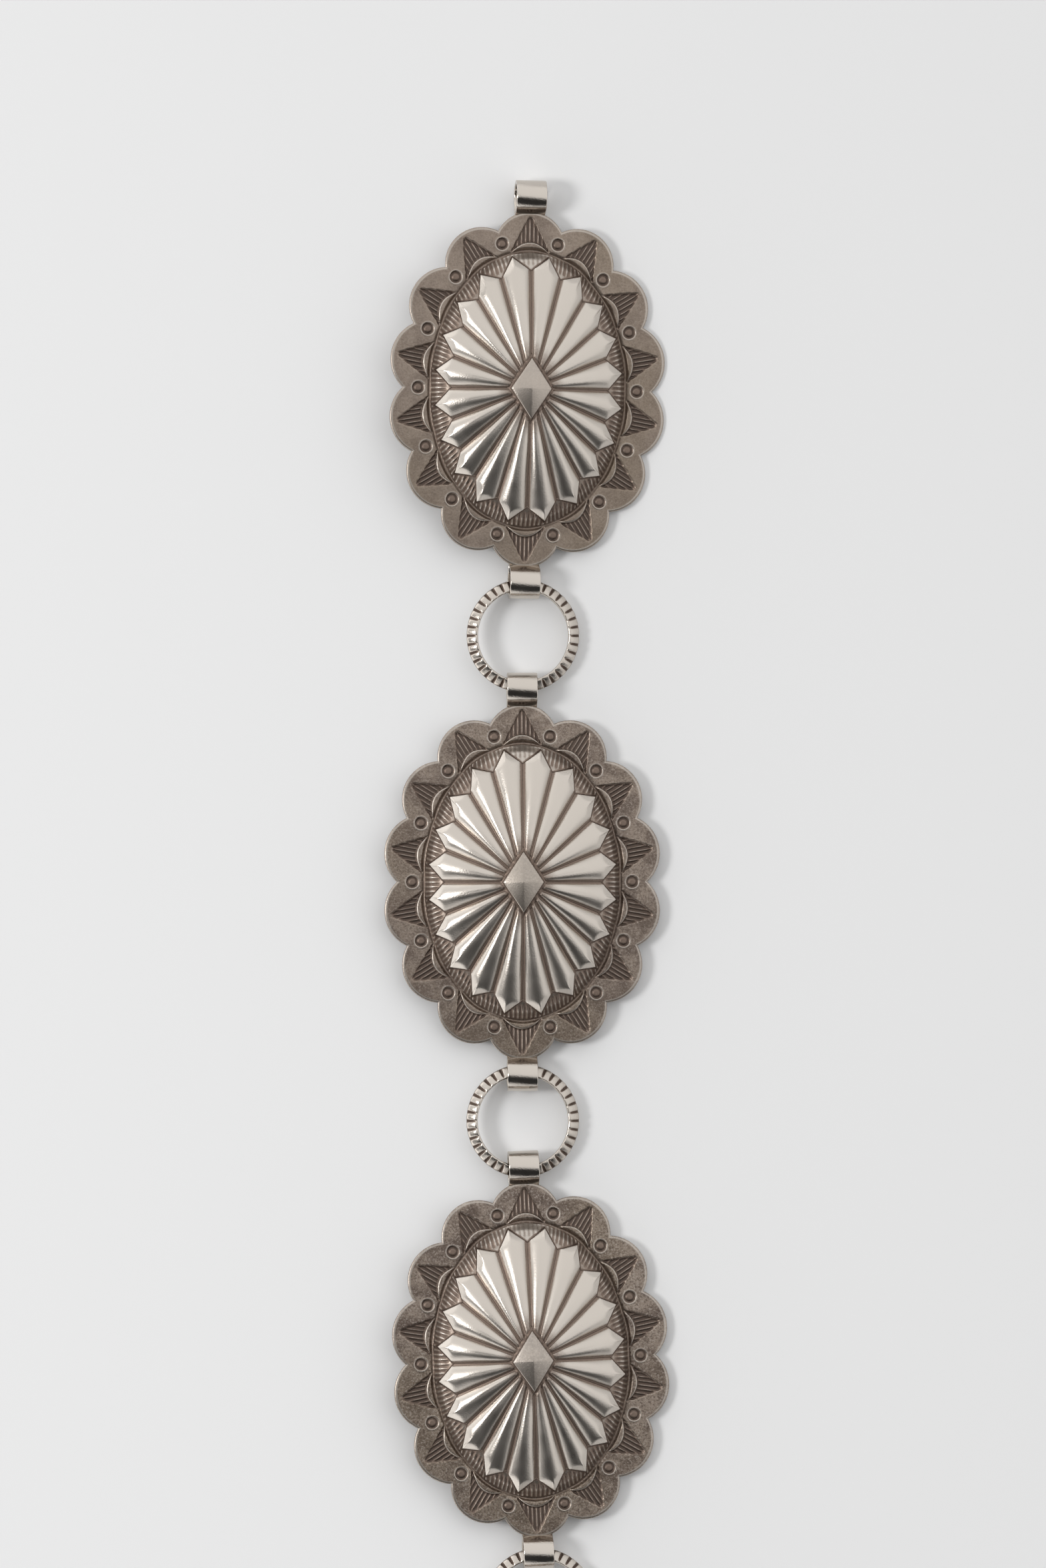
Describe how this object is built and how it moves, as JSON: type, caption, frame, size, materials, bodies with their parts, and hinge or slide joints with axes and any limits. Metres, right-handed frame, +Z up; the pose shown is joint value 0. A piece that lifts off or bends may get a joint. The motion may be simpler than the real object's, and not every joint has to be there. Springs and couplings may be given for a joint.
{
  "type": "concho belt",
  "caption": "Linked belt of oval stamped silver conchos with scalloped rims and fluted domes, joined by filed round links through rolled bails, with a plain hook at one end",
  "frame": {"origin": "on the surface that the belt lies on, under the middle of the whole belt", "axes": "+Z up, out of the faces of the conchos; +Y along the belt towards its free bail; +X across the belt, to the right as seen from above"},
  "size_m": [0.056, 0.8174, 0.0115],
  "materials": {
    "concho_silver": "old sterling silver: bright polished petals and bails, warm grey satin rim, dark oxide in the stamps and grooves",
    "link_silver": "filed silver wire, worn satin with dark oxide in the file cuts",
    "hook_silver": "plain polished silver wire, softly worn"
  },
  "bodies": {
    "root": {"concho_1": "concho_silver", "concho_2": "concho_silver", "concho_3": "concho_silver", "concho_4": "concho_silver", "concho_5": "concho_silver", "concho_6": "concho_silver", "concho_7": "concho_silver", "concho_8": "concho_silver", "concho_9": "concho_silver", "ring_1": "link_silver", "ring_2": "link_silver", "ring_3": "link_silver", "ring_4": "link_silver", "ring_5": "link_silver", "ring_6": "link_silver", "ring_7": "link_silver", "ring_8": "link_silver", "hook": "hook_silver"}
  },
  "joints": []
}
